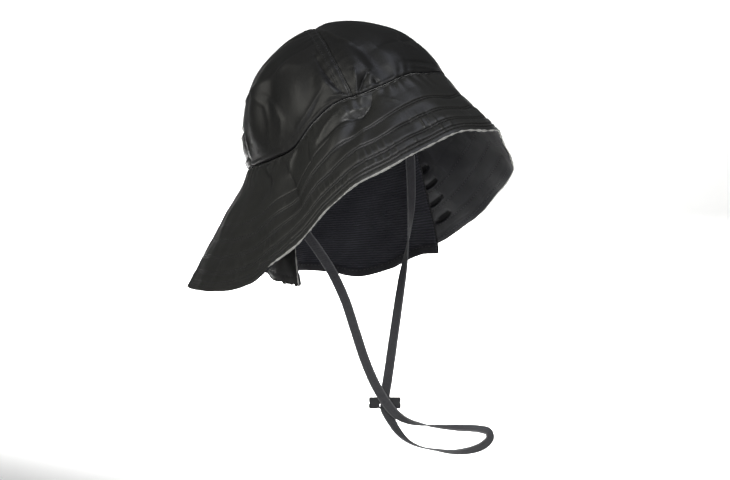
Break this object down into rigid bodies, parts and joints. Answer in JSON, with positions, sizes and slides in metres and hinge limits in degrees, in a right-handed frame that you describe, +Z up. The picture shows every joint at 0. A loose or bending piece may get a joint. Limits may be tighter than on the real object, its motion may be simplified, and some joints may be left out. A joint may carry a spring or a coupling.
{
  "type": "rain hat",
  "caption": "Black coated rain hat: domed crown of sewn gores, drooping brim that is longer behind, lined flap over ears and neck, chin strap with a slider.",
  "frame": {"origin": "middle of the oval head opening, level with the wearer's head where the hat sits", "axes": "+Z up, -Y towards the face, +X towards the wearer's left; the crown is tipped back over +Y"},
  "size_m": [0.2605, 0.2894, 0.3747],
  "materials": {
    "coated_cloth": "satin",
    "matt_cloth": "matte",
    "knit_lining": "matte",
    "woven_tape": "matte",
    "thread": "satin",
    "black_plastic": "satin"
  },
  "bodies": {
    "root": {"crown_gore_front": "coated_cloth", "crown_gore_right": "coated_cloth", "crown_gore_back": "coated_cloth", "crown_gore_left": "coated_cloth", "brim": "coated_cloth", "brim_facing": "matt_cloth", "neck_flap": "coated_cloth", "flap_lining": "knit_lining", "flap_binding": "matt_cloth", "chin_strap": "woven_tape", "strap_slider": "black_plastic"}
  },
  "joints": []
}
